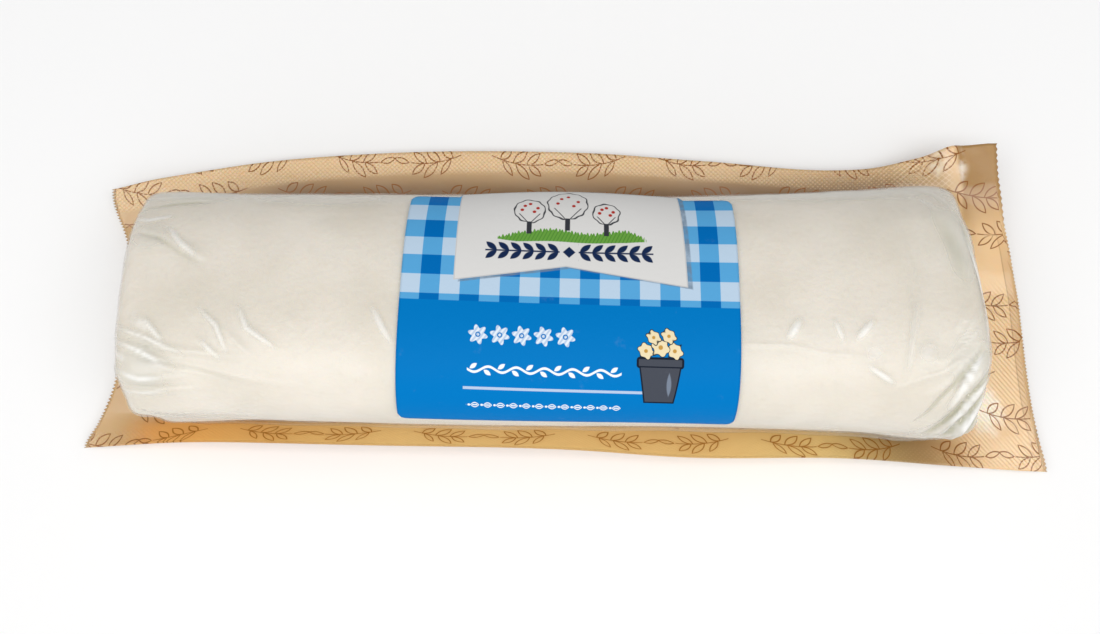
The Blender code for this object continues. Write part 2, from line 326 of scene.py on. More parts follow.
def log_point(along, around, out=0.0):
    """Points of the film round the log. along runs from 0 at the left end to 1 at the right one."""
    from_left = along < 0.5
    nearest = np.minimum(along, 1 - along)
    tilt = pi / 2 * np.minimum(nearest / DOME_SHARE, 1)
    radius = np.sin(tilt) ** (2 / DOME_POWER)
    depth = DOME_DEPTH * (1 - np.maximum(np.cos(tilt), 0) ** (2 / DOME_POWER))
    body_share = np.clip((along - DOME_SHARE) / (1 - 2 * DOME_SHARE), 0, 1)
    x_guess = between(LEFT_END + DOME_DEPTH, RIGHT_END - DOME_DEPTH, body_share)
    across, up = section(x_guess, around)
    left, right = ends(radius * across / HALF_WIDTH(x_guess))
    on_body = nearest >= DOME_SHARE
    on_dome = np.where(from_left, left + depth, right - depth)
    x = np.where(on_body, between(left + DOME_DEPTH, right - DOME_DEPTH, body_share), on_dome)
    end_share = np.minimum(nearest / DOME_SHARE, 1)
    relief = np.where(
        from_left, fold_relief(around, end_share, LEFT_FOLDS), fold_relief(around, end_share, RIGHT_FOLDS)
    )
    past_dome = np.abs(x - np.where(from_left, left, right)) - DOME_DEPTH
    out = out + relief * np.where(on_body, 1 - smooth_step(past_dome, 0, 16 * MM), 1)
    facing = np.where(from_left, -1, 1) * np.cos(tilt)
    return np.stack([
        x + out * facing,
        AXIS_Y(x_guess) + radius * across + out * np.sin(tilt) * np.cos(around),
        WIDEST_LEVEL + radius * up + out * np.sin(tilt) * np.sin(around),
    ], -1)


def film_height(x, y):
    """How high the underside of the backing film lies: flat under the log, then up to the seam, then out."""
    across = y - AXIS_Y(x)
    left, right = ends(np.clip(across / HALF_WIDTH(x), -1, 1))
    past_end = np.maximum(0, np.maximum(left - x, x - right) + FOOT_REACH - END_MARGIN)
    reach = (past_end**REACH_POWER + np.abs(across) ** REACH_POWER) ** (1 / REACH_POWER)
    height = SEAM_LEVEL * smooth_step(reach, FLAT_REACH, FOOT_REACH)
    past_foot = np.maximum(np.abs(across) - FOOT_REACH, 0)
    front_share = past_foot / (AXIS_Y(x) - FOOT_REACH - FRONT_EDGE(x))
    rear_share = past_foot / (REAR_EDGE(x) - AXIS_Y(x) - FOOT_REACH)
    pleat = PLEAT_HEIGHT * rear_share**2 * bell(x - PLEAT_X, PLEAT_WIDTH)
    height += np.where(across < 0, CURL(x) * front_share**1.4, REAR_RISE * rear_share + pleat)
    beside_log = smooth_step(reach, FOOT_REACH, FOOT_REACH + LIFT_RUN)
    return height + CORNER_LIFT(x) * smooth_step(y, 2 * MM, 26 * MM) * beside_log


def film_place(u, band):
    """Where a point of the backing film lies in plan. u runs from left to right. band runs from 0 at the
    front edge to 5 at the rear one, past the two feet of the log and its flat underside."""
    guess = between(LEFT_EDGE(0), RIGHT_EDGE(0), u)
    axis = AXIS_Y(guess)
    stops = np.stack([
        FRONT_EDGE(guess), axis - FOOT_REACH, axis - FLAT_REACH,
        axis + FLAT_REACH, axis + FOOT_REACH, REAR_EDGE(guess),
    ])
    low = np.minimum(band.astype(int), len(stops) - 2)
    here = np.arange(len(u))
    y = between(stops[low, here], stops[low + 1, here], band - low)
    return between(LEFT_EDGE(y), RIGHT_EDGE(y), u), y


def crown_arcs():
    """The angles over the log's top, from rear to front, and how far each lies round it from the crown."""
    angles = np.radians(np.arange(0, 180.5, 0.5))
    points = np.stack(section(LABEL_X, angles), -1)
    steps = np.hypot(*np.diff(points, axis=0).T)
    arcs = np.concatenate([[0], np.cumsum(steps)])
    return arcs - arcs[len(arcs) // 2], angles


ARCS, ARC_ANGLES = crown_arcs()


def round_log(around):
    """v for an angle round the log, also past its two widest lines."""
    degrees_past = np.degrees(around) % 360
    degrees_past = np.where(degrees_past > 270, degrees_past - 360, degrees_past)
    beyond = WIDEST_LEVEL * np.radians(np.maximum(degrees_past - 180, 0) + np.minimum(degrees_past, 0))
    return np.interp(np.radians(degrees_past), ARC_ANGLES, ARCS) + beyond


def distance_to_line(x, v, line):
    """How far points lie from a broken line, and where on it, from 0 at its start to 1 at its end."""
    line = MM * np.array(line, float)
    lengths = np.hypot(*np.diff(line, axis=0).T)
    nearest = np.full(np.shape(x), np.inf)
    place = np.zeros(np.shape(x))
    run = 0
    for (x0, v0), (x1, v1), length in zip(line[:-1], line[1:], lengths):
        share = np.clip(((x - x0) * (x1 - x0) + (v - v0) * (v1 - v0)) / length**2, 0, 1)
        off = np.hypot(x - x0 - share * (x1 - x0), v - v0 - share * (v1 - v0))
        place = np.where(off < nearest, (run + share * length) / lengths.sum(), place)
        nearest = np.minimum(nearest, off)
        run += length
    return nearest, place


def under_label(x, v):
    """1 where the label holds the film down, 0 clear of it."""
    beside = 1 - smooth_step(np.abs(x - LABEL_X), LABEL_WIDTH / 2 - 1 * MM, LABEL_WIDTH / 2 + 1.5 * MM)
    return beside * (1 - smooth_step(np.abs(v), LABEL_HEIGHT / 2 - 1 * MM, LABEL_HEIGHT / 2 + 2 * MM))


def pocket_share(x, v):
    """1 in the middle of a pocket of loose film, 0 outside all of them."""
    share = np.zeros(np.shape(x))
    for (middle_x, middle_v), (half_x, half_v) in POCKETS:
        off = np.hypot((x / MM - middle_x) / half_x, (v / MM - middle_v) / half_v)
        share = np.maximum(share, 1 - smooth_step(off, 0.25, 1.3))
    return share


def line_share(x, v, lines):
    """The given share along each line, tapered at its ends and sides, 0 clear of all of them."""
    share = np.zeros(np.shape(x))
    for line, *_, width, most in lines:
        off, place = distance_to_line(x, v, line)
        tapered = most * np.sin(pi * np.clip(place * 0.9 + 0.05, 0, 1)) ** 0.6
        share = np.maximum(share, tapered * bell(off, width * MM))
    return share


def wrinkle_relief(x, v):
    """How far the fine wrinkles lift the clear film off the cheese."""
    lift = POCKET_LIFT * pocket_share(x, v)
    for line, height, width in WRINKLES:
        off, place = distance_to_line(x, v, line)
        tapered = height * MM * np.sin(pi * np.clip(place * 0.84 + 0.08, 0, 1)) ** 0.8
        lift = np.maximum(lift, tapered * bell(off, width * MM))
    rng = np.random.default_rng(SLACK_SEED)
    for _ in range(SLACK_WAVES):
        heading, length, phase = rng.uniform(0, pi), rng.uniform(6, 22) * MM, rng.uniform(0, 2 * pi)
        turned = x * cos(heading) + v * sin(heading)
        lift = lift + SLACK_HEIGHT / SLACK_WAVES**0.5 * np.sin(2 * pi * turned / length + phase)
    for line, depth, width, _ in CREASES:
        off, _ = distance_to_line(x, v, line)
        lift = lift - depth * MM * bell(off, width * MM)
    return lift * (1 - under_label(x, v))


# Making pieces


def new_object(name, data):
    """An object of the scene, unturned at the origin."""
    made = bpy.data.objects.new(name, data)
    bpy.context.scene.collection.objects.link(made)
    return made


def shown_mesh(name, bm, material):
    """An object with the shaped mesh and its finish."""
    bm.normal_update()
    mesh = bpy.data.meshes.new(name)
    bm.to_mesh(mesh)
    bm.free()
    mesh.shade_smooth()
    mesh.materials.append(material)
    return new_object(name, mesh)


def finish_piece(name, bm, material):
    """Makes the shaped mesh a piece that rides with the pack."""
    piece = shown_mesh(name, bm, material)
    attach(piece, "root")
    return piece


def thicken(piece, thickness):
    """Gives a sheet its thickness on the side that its faces look to."""
    solidify = piece.modifiers.new("Thickness", "SOLIDIFY")
    solidify.thickness = thickness
    solidify.offset = 1
    solidify.use_rim = True


def grid_mesh(columns, rows):
    """A grid to be shaped, and which column and row each of its vertices is in, from the front left."""
    bm = bmesh.new()
    bmesh.ops.create_grid(bm, x_segments=columns, y_segments=rows, size=0.5)
    flat = np.array([vert.co for vert in bm.verts])[:, :2] + 0.5
    column, row = np.rint(flat * (columns, rows)).astype(int).T
    return bm, column, row


def move_verts(bm, places):
    for vert, place in zip(bm.verts, places):
        vert.co = place


def mark_verts(bm, **marks):
    """Keeps numbers at each vertex, which a material can read by their names."""
    for name, values in marks.items():
        layer = bm.verts.layers.float.new(name)
        for vert, value in zip(bm.verts, values):
            vert[layer] = value


def shaped_log(out_of, rings, sides, marked=False):
    """A closed skin round the log. out_of gives how far it stands out at x and v. Marked, each vertex also
    keeps how slack the film is there, and how creased."""
    bm = bmesh.new()
    bmesh.ops.create_uvsphere(bm, u_segments=sides, v_segments=rings, radius=1)
    ball = np.array([vert.co for vert in bm.verts])
    along = 1 - np.arccos(np.clip(ball[:, 2], -1, 1)) / pi
    along = np.interp(along, *RING_SHARES)
    around = np.radians(np.interp(np.degrees(np.arctan2(ball[:, 1], ball[:, 0])), *SIDE_DEGREES))
    plain = log_point(along, around)
    x, v = plain[:, 0], round_log(around)
    out = out_of(x, v)
    corners = 0
    for middle, angle, length, width, height in CORNERS:
        off = np.hypot((along - middle) / length, (np.degrees(around) - angle) / width)
        corners = corners + height * MM * bell(off, 1)
    places = log_point(along, around, out + corners)
    places[:, 2] = np.minimum(places[:, 2], cad_box[1][2] - TOP_CLEARANCE)
    move_verts(bm, places)
    if marked:
        # crease also says where painted shade darkens the film's creases, and glint where painted highlights
        # whiten its ridges
        mark_verts(
            bm, slack=np.clip(out / FULL_SLACK, 0, 1), pocket=pocket_share(x, v),
            crease=line_share(x, v, CREASES), glint=line_share(x, v, GLINTS),
        )
    bm.normal_update()
    bmesh.ops.recalc_face_normals(bm, faces=bm.faces[:])
    return bm


# Node trees


class Field:
    """A number that changes over a surface: a socket, with arithmetic that adds Math nodes to its tree."""

    def __init__(self, tree, socket):
        self.tree = tree
        self.socket = socket

    def math(self, operation, *others):
        node = self.tree.nodes.new("ShaderNodeMath")
        node.operation = operation
        for slot, value in zip(node.inputs, (self, *others)):
            plug(self.tree, slot, value)
        return Field(self.tree, node.outputs[0])

    def __add__(self, other):
        return self.math("ADD", other)

    def __sub__(self, other):
        return self.math("SUBTRACT", other)

    def __mul__(self, other):
        return self.math("MULTIPLY", other)

    def __truediv__(self, other):
        return self.math("DIVIDE", other)

    def __neg__(self):
        return self.math("MULTIPLY", -1)

    def __abs__(self):
        return self.math("ABSOLUTE")

    def at_most(self, other):
        return self.math("MINIMUM", other)

    def at_least(self, other):
        return self.math("MAXIMUM", other)

    def wrapped(self, low, high):
        return self.math("WRAP", high, low)

    def sine(self):
        return self.math("SINE")

    def eased(self, start, end):
        """0 at start and 1 at end, smooth between."""
        low, high = (0, 1) if start < end else (1, 0)
        node = add_node(
            self.tree, "MapRange", interpolation_type="SMOOTHSTEP", value=self, from_min=min(start, end),
            from_max=max(start, end), to_min=low, to_max=high,
        )
        return Field(self.tree, node.outputs["Result"])

    def inside(self, blur=0.08):
        """A mask that is 1 where this distance is below zero."""
        return self.eased(blur, -blur)


def plug(tree, slot, value):
    """Sets an input to a number, a colour or a vector, or links a socket to it."""
    value = getattr(value, "socket", value)
    if isinstance(value, bpy.types.NodeSocket):
        tree.links.new(value, slot)
    elif slot.type == "RGBA":
        slot.default_value = (*value, 1)
    else:
        slot.default_value = value


def new_material(name):
    material = bpy.data.materials.new(name)
    material.use_nodes = True
    tree = material.node_tree
    return material, tree, tree.nodes["Principled BSDF"]


def fill(tree, node, **values):
    """Sets a node's inputs, named in lower case with _ for a space, and its settings."""
    for slot in node.inputs:
        key = slot.name.lower().replace(" ", "_")
        if key in values and slot.enabled:
            plug(tree, slot, values.pop(key))
    for key, value in values.items():
        setattr(node, key, value)
    return node


def add_node(tree, kind, **values):
    return fill(tree, tree.nodes.new("ShaderNode" + kind), **values)


def mix_colours(tree, share, first, second):
    node = tree.nodes.new("ShaderNodeMix")
    node.data_type = "RGBA"
    plug(tree, node.inputs[0], share)
    plug(tree, node.inputs[6], first)
    plug(tree, node.inputs[7], second)
    return node.outputs[2]


def painted(tree, base, layers):
    """A colour with others laid over it, each where its mask is 1."""
    for mask, colour in layers:
        base = mix_colours(tree, mask, base, colour)
    return base


def show(tree, shader):
    """Makes a shader the one that the material shows."""
    tree.links.new(shader.outputs[0], tree.nodes["Material Output"].inputs["Surface"])


def mixed(tree, share, first, second):
    """A shader that turns from the first into the second as share goes from 0 to 1."""
    node = tree.nodes.new("ShaderNodeMixShader")
    plug(tree, node.inputs[0], share)
    tree.links.new(first.outputs[0], node.inputs[1])
    tree.links.new(second.outputs[0], node.inputs[2])
    return node


def noise(tree, vector, scale, detail=3, **more):
    """A smooth random field from 0 to 1."""
    node = add_node(tree, "TexNoise", vector=vector, scale=scale, detail=detail, **more)
    return Field(tree, node.outputs["Fac"])


def kept_number(tree, name):
    """A number that mark_verts kept at the vertices."""
    return Field(tree, add_node(tree, "Attribute", attribute_name=name).outputs["Fac"])


def object_point(tree):
    return tree.nodes.new("ShaderNodeTexCoord").outputs["Object"]


def split(tree, vector):
    node = add_node(tree, "SeparateXYZ", vector=vector)
    return [Field(tree, socket) for socket in node.outputs]


def surface_millimetres(tree, span, middle):
    """The two coordinates of a piece's own map, in millimetres."""
    u, v, _ = split(tree, tree.nodes.new("ShaderNodeUVMap").outputs["UV"])
    scale = span / MM
    return u * scale - middle[0], v * scale - middle[1]


def bumped(tree, height, distance, **more):
    return add_node(tree, "Bump", height=height, distance=distance, **more).outputs["Normal"]


def srgb(red, green, blue):
    """A colour as a screen shows it, from 0 to 255, in the linear values that shaders take."""
    return tuple(
        c / 12.92 if c <= 0.04045 else ((c + 0.055) / 1.055) ** 2.4
        for c in (red / 255, green / 255, blue / 255)
    )


def group_of(name, inputs, output):
    """An empty node group with the named inputs and their kinds, and one output, and its two end nodes."""
    group = bpy.data.node_groups.new(name, "ShaderNodeTree")
    for socket, kind in inputs.items():
        group.interface.new_socket(socket, in_out="INPUT", socket_type="NodeSocket" + kind)
    group.interface.new_socket(output, in_out="OUTPUT", socket_type="NodeSocketFloat")
    return group, group.nodes.new("NodeGroupInput"), group.nodes.new("NodeGroupOutput")


def placed_group(tree, group, **values):
    node = tree.nodes.new("ShaderNodeGroup")
    node.node_tree = group
    return fill(tree, node, **values)


# Distances, in millimetres, negative inside a shape


def length_of(a, b):
    return (a * a + b * b).math("SQRT")


def disc(p, q, radius):
    return length_of(p, q) - radius


def box(p, q, half_width, half_height, corner=0.0):
    over_p = (abs(p) - (half_width - corner)).at_least(0)
    over_q = (abs(q) - (half_height - corner)).at_least(0)
    return length_of(over_p, over_q) - corner


def turned(p, q, degrees):
    c, s = cos(radians(degrees)), sin(radians(degrees))
    return p * c + q * s, q * c - p * s


def leaf(p, q, half_length, half_width):
    """A pointed leaf along p."""
    along = (p / half_length).at_most(1.4).at_least(-1.4)
    return (abs(q) - (along * along * -half_width + half_width)) * 0.8


def outline(distance, thickness):
    return abs(distance) - thickness / 2


def joined(first, *others):
    """The shape that covers all of the given ones."""
    for other in others:
        first = first.at_most(other)
    return first


def wave(distance, pitch):
    """A sine wave along a distance, one to each pitch."""
    return (distance * (2 * pi / pitch)).sine()


# Finishes


def film_emboss_group():
    """The fine slack of a clear film pulled tight: soft waves and faint scratches, as a height."""
    group, start, end = group_of("film_slack", {"Point": "Vector"}, "Height")
    broad = noise(group, start.outputs["Point"], 90, detail=2, distortion=0.6)
    fine = noise(group, start.outputs["Point"], 420, distortion=1.2)
    group.links.new((broad * 0.75 + fine * 0.25).socket, end.inputs["Height"])
    return group


def cheese_finish():
    """Fresh cheese: off-white, faintly mottled, with a fine crumb pressed flat by the film."""
    material, tree, shader = new_material("fresh_cheese")
    point = object_point(tree)
    mottle = noise(tree, point, 55, detail=4)
    grain = noise(tree, point, 900, detail=2)
    base = mix_colours(tree, mottle.eased(0.3, 0.75), srgb(243, 237, 226), srgb(231, 224, 210))
    fill(
        tree, shader,
        base_color=mix_colours(tree, grain.eased(0.55, 0.8) * 0.25, base, srgb(222, 213, 196)),
        roughness=0.55, normal=bumped(tree, grain + mottle, 0.00012), subsurface_weight=0.15,
        subsurface_radius=(0.004, 0.003, 0.002), subsurface_scale=1.0,
    )
    return material


def clear_film_finish(slack):
    """Clear shrunk film: see-through, with the gloss of its wrinkles and a little haze where it is slack."""
    material, tree, shader = new_material("clear_film")
    point = object_point(tree)
    loose, crease, glint, pocket = (
        kept_number(tree, name) for name in ("slack", "crease", "glint", "pocket")
    )
    height = placed_group(tree, slack, point=point).outputs["Height"]
    normal = bumped(tree, loose - crease, 0.00022)
    normal = bumped(tree, height, 0.0009, strength=0.5, normal=normal)
    patchy = noise(tree, point, 24, distortion=0.8)
    haze = patchy.eased(0.35, 0.75) * 0.14 + pocket * patchy * 0.4 + loose * 0.08 + 0.03
    # The haze thickens in the creases to carry painted shade, and on the glints to carry painted highlights
    haze = haze + crease * 0.5 + glint * 0.7
    path = tree.nodes.new("ShaderNodeLightPath")
    indirect = Field(tree, path.outputs["Is Shadow Ray"]) + Field(tree, path.outputs["Is Diffuse Ray"])
    fresnel = add_node(tree, "Fresnel", ior=1.5, normal=normal)
    shine = Field(tree, fresnel.outputs[0]).at_most(0.16) * (loose * 0.7 + 0.9)
    clear = add_node(tree, "BsdfTransparent", color=srgb(251, 250, 249))
    gloss = add_node(tree, "BsdfAnisotropic", roughness=loose * -0.06 + 0.38, normal=normal)
    glossy = mixed(tree, shine * (-indirect + 1), clear, gloss)
    # The haze's colour: grey-green painted shade in the creases, near-white painted highlights on the glints
    haze_with_painted_light = mix_colours(tree, crease.eased(0.05, 0.6), srgb(232, 232, 225), srgb(196, 196, 174))
    haze_with_painted_light = mix_colours(tree, glint.eased(0.05, 0.5), haze_with_painted_light, srgb(254, 254, 251))
    fill(tree, shader, base_color=haze_with_painted_light, roughness=0.3, normal=normal)
    show(tree, mixed(tree, haze, glossy, shader))
    return material


def sprig_group():
    """One motif of the film's print: a stem with pairs of leaf outlines, in a cell of its own."""
    group, start, end = group_of("sprig", dict.fromkeys(("P", "Q", "Line"), "Float"), "Ink")
    p, q, line = (Field(group, start.outputs[name]) for name in ("P", "Q", "Line"))
    line = line * 0.5
    bend = q - (p * p) * 0.02
    ink = (abs(bend) - line).at_least(abs(p) - 7.2)
    for place, angle, size in (
        (-4.8, 48, 2.3), (-4.2, -52, 2.2), (-1.2, 44, 2.7), (-0.5, -46, 2.7), (2.6, 40, 2.4),
        (3.1, -42, 2.3), (7.6, 2, 2.0),
    ):
        a, b = turned(p - place, bend, angle)
        shape = leaf(a - size, b, size, size * 0.36)
        ink = ink.at_most(abs(shape) - line)
    group.links.new(ink.inside(0.07).socket, end.inputs["Ink"])
    return group


def backing_finish(sprig):
    """Printed film: tan, with brown line motifs, a pressed seal along its edges and a soft gloss."""
    material, tree, shader = new_material("printed_film")
    s, t = surface_millimetres(tree, UV_SPAN, (125, 125))
    point = object_point(tree)
    across, along = (axis / MM for axis in split(tree, point)[:2])
    seal, ribs, to_end = (kept_number(tree, name) for name in ("seal", "ribs", "to_end"))
    to_edge = to_end * 100
    shade = noise(tree, point, 30)
    base = mix_colours(tree, shade.eased(0.3, 0.7), srgb(221, 188, 143), srgb(211, 176, 130))
    front = along.eased(-23, -27) * across.eased(100, 50) * across.eased(-101, -84)
    # Where the log's painted shadow falls on the film beside it
    beside_log = along.eased(33, 24) * across.eased(-84, -55) * across.eased(92, 70)
    # The raised rear right corner, which is painted darker as painted shade
    corner = along.eased(14, 26) * (across + along * 0.12).eased(89.6, 90.6)
    # Painted highlights: two patches of glare on the flanks of the pleat
    painted_glare = joined(
        leaf(along - 31.0, across - 82.4, 2.8, 1.2), leaf(along - 29.8, across - 87.2, 3.0, 0.9)
    )
    patchy = noise(tree, point, 420).eased(0.3, 0.6)
    # A lighter veil on the backing under the pouch of clear film: the film's haze there, painted bright as
    # painted light against the log's shade
    pouch_haze_and_light = disc((across - 91) * 1.2, along + 22 + (across - 91) * 0.4, 5.5) + (patchy - 0.5) * 1.5
    base = painted(tree, base, [
        (across.eased(74, 94) * 0.8, srgb(241, 207, 158)),
        (across.eased(-84, -98) * 0.6, srgb(202, 168, 120)),
        # Painted light: the curled front band brighter and more orange, standing in for light through it and
        # onto it
        (front * 0.9, srgb(255, 202, 130)),
        # Painted shadow that the log casts on the film beside it
        (beside_log * 0.95, srgb(122, 88, 50)),
        # Painted shade on the raised rear right corner
        (corner * 0.8, srgb(164, 122, 64)),
        # Painted shade: darker beyond the crease near the right edge, with a dark line along the crease
        (to_edge.eased(2.5, 2.1) * along.eased(20, 8) * 0.45, srgb(196, 156, 108)),
        (outline(to_edge - 2.3, 0.14).inside(0.15) * along.eased(20, 8) * 0.7, srgb(150, 108, 60)),
        # Painted highlights on the pleat
        (painted_glare.inside(1.0) * patchy * 0.8, srgb(255, 246, 234)),
        (along.eased(-22, -30) * across.eased(84, 92) * 0.6, srgb(240, 208, 166)),
        (seal * along.eased(10, 20) * across.eased(70, 30) * 0.5, srgb(240, 210, 168)),
        (pouch_haze_and_light.inside(2.5) * 0.85, srgb(255, 240, 222)),
    ])
    cell_s, cell_t = 18.6, 8.4
    row = (t / cell_t).math("FLOOR")
    shifted = s + row * 7.3
    local_s = shifted.wrapped(-cell_s / 2, cell_s / 2)
    local_t = t.wrapped(0, cell_t) - cell_t / 2
    column = (shifted / cell_s + 0.5).math("FLOOR")
    flip = ((row + column).wrapped(0, 2) - 0.5) * 2
    p, q = local_s * flip * 1.24, local_t * 1.18 + local_s * flip * 0.2
    ink = placed_group(tree, sprig, p=p, q=q, line=0.28)
    wear = noise(tree, point, 300, detail=2).eased(0.1, 0.42)
    ink = Field(tree, ink.outputs["Ink"]) * wear
    knurl = wave(s, 1.05) * wave(t, 1.0)
    lines = wave(s + t * 0.8, 1.0) * noise(tree, point, 90).eased(0.35, 0.6)
    quilt = wave(s + t, 2.4) * wave(s - t, 2.4)
    quilted = along.eased(19, 22) * across.eased(73, 76) * across.eased(86, 84)
    base = painted(tree, base, [
        (ink, srgb(146, 86, 0)),
        # Painted highlights of the pressed seal: lighter diamond lines, lighter knurl dots and lighter rib
        # lines where the emboss catches the light
        (abs(quilt).eased(0.4, 0.05) * quilted * 0.4, srgb(244, 224, 190)),
        (knurl.eased(0.2, 0.9) * seal * (patchy * 0.3 + 0.3), srgb(240, 212, 168)),
        (lines.eased(0.0, 1.0) * ribs * 0.2, srgb(244, 224, 192)),
    ])
    normal = bumped(tree, knurl * seal + lines * ribs * 0.4, 0.00006)
    normal = bumped(tree, noise(tree, point, 160), 0.0002, normal=normal)
    fill(
        tree, shader, base_color=base, normal=normal, roughness=0.3, subsurface_weight=0.75,
        subsurface_radius=(0.0002, 0.00014, 0.00008), subsurface_scale=1.0, coat_weight=0.3,
        coat_roughness=0.12,
    )
    # The glow through the front band is real translucency; its darker tone to the left and lighter tone to
    # the right are painted shade and painted light
    glow = mix_colours(tree, across.eased(-30, -85), (1.0, 0.81, 0.5), (0.92, 0.67, 0.35))
    glow = painted(tree, glow, [(across.eased(15, 70), (1.0, 0.86, 0.55)), (ink * 0.85, (0.48, 0.24, 0.05))])
    through = add_node(tree, "BsdfTranslucent", color=glow, normal=normal)
    show(tree, mixed(tree, front * 0.86, shader, through))
    return material


LIGHT_BLUE = srgb(188, 210, 230)
MID_BLUE = srgb(88, 166, 218)
DEEP_BLUE = srgb(0, 106, 182)
FIELD_BLUE = srgb(0, 119, 193)
BANNER_WHITE = srgb(219, 218, 216)
INK_NAVY = srgb(24, 42, 78)
INK_DARK = srgb(56, 58, 64)
POT_INK = srgb(22, 30, 44)
GREEN = srgb(104, 160, 66)
CREAM = srgb(236, 220, 180)


def gingham(tree, p, q):
    """Woven checks: light, middle and deep blue, with the rows' edges measured from the label's rear."""
    pitch, first = 3.76, -31.9
    column = ((p - first) / pitch).wrapped(0, 2)
    dark_column = column.eased(0.98, 1.02) * column.eased(2.0, 1.98)
    row_edges = (3.8, 8.3, 12.5, 16.4, 20.4, 24.2)
    dark_row = (q - row_edges[0]).inside()
    for low, high in zip(row_edges[1::2], row_edges[2::2]):
        dark_row = dark_row.at_least((abs(q - (low + high) / 2) - (high - low) / 2).inside())
    dark_row = dark_row.at_least((-q + row_edges[-1]).inside())
    either = dark_column.at_least(dark_row)
    both = dark_column * dark_row
    return painted(tree, LIGHT_BLUE, [(either, MID_BLUE), (both, DEEP_BLUE)])


def banner_distance(p, q):
    """The swallow-tailed banner at the label's rear edge."""
    sides = (-p - 21.9).at_least(p - q * 0.042 - 21.3)
    tail = q - abs(p + 0.7) * 0.16 - 18
    return sides.at_least(tail * 0.98)


def tree_marks(p, q, place, top, size):
    """A round tree in outline: its wobbly crown, trunk and a few fruits. Gives the lines and the fruits."""
    a, b = p - place, q - top
    wobble = ((a * 2.1 + size).sine() * (b * 2.6).sine()) * 0.18
    crown = outline(disc(a, b, size) + wobble, 0.26)
    trunk = outline(box(a, b - size - 1.2, 0.38, 1.3), 0.22)
    fork = abs(abs(a) - (b * -0.8 + size * 0.9)) - 0.12
    fork = fork.at_least(abs(b - size * 0.62) - size * 0.34)
    fruits = joined(*(
        disc(a - size * off_p, b - size * off_q, 0.36)
        for off_p, off_q in ((-0.5, -0.05), (0.52, -0.2), (0.02, -0.6), (-0.32, -0.42), (0.3, 0.12))
    ))
    return joined(crown, fork, trunk), fruits


